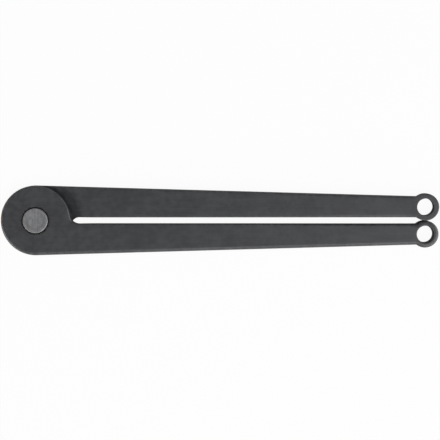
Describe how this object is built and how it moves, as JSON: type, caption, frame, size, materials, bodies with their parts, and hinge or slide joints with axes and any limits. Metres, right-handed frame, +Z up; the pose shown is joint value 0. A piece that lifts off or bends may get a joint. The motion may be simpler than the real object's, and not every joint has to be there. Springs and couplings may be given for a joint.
{
  "type": "adjustable pin spanner",
  "caption": "Flat pin spanner with tapering steel arms that lap in a riveted boss and swing open to suit a nut's hole spacing; each arm ends in a round eye that takes a pin.",
  "frame": {"origin": "on the pivot axis, in the plane of the undersides that the shut spanner lies on", "axes": "+X from the pivot to the eyes, +Y to the side of the rear arm, +Z up out of the rivet's head"},
  "size_m": [0.2057, 0.0328, 0.0067],
  "materials": {
    "blackened_steel": "satin black oxide on forged steel",
    "bare_steel": "bare steel, faced flat and dulled"
  },
  "bodies": {
    "rear": {"rear_arm": "blackened_steel", "pivot_rivet": "bare_steel"},
    "front": {"front_arm": "blackened_steel"}
  },
  "joints": [
    {"name": "arm_hinge", "type": "hinge", "parent": "rear", "child": "front", "pos_m": [0, 0, 0.003], "axis": [0, 0, -1], "range_deg": [0, 200]}
  ]
}
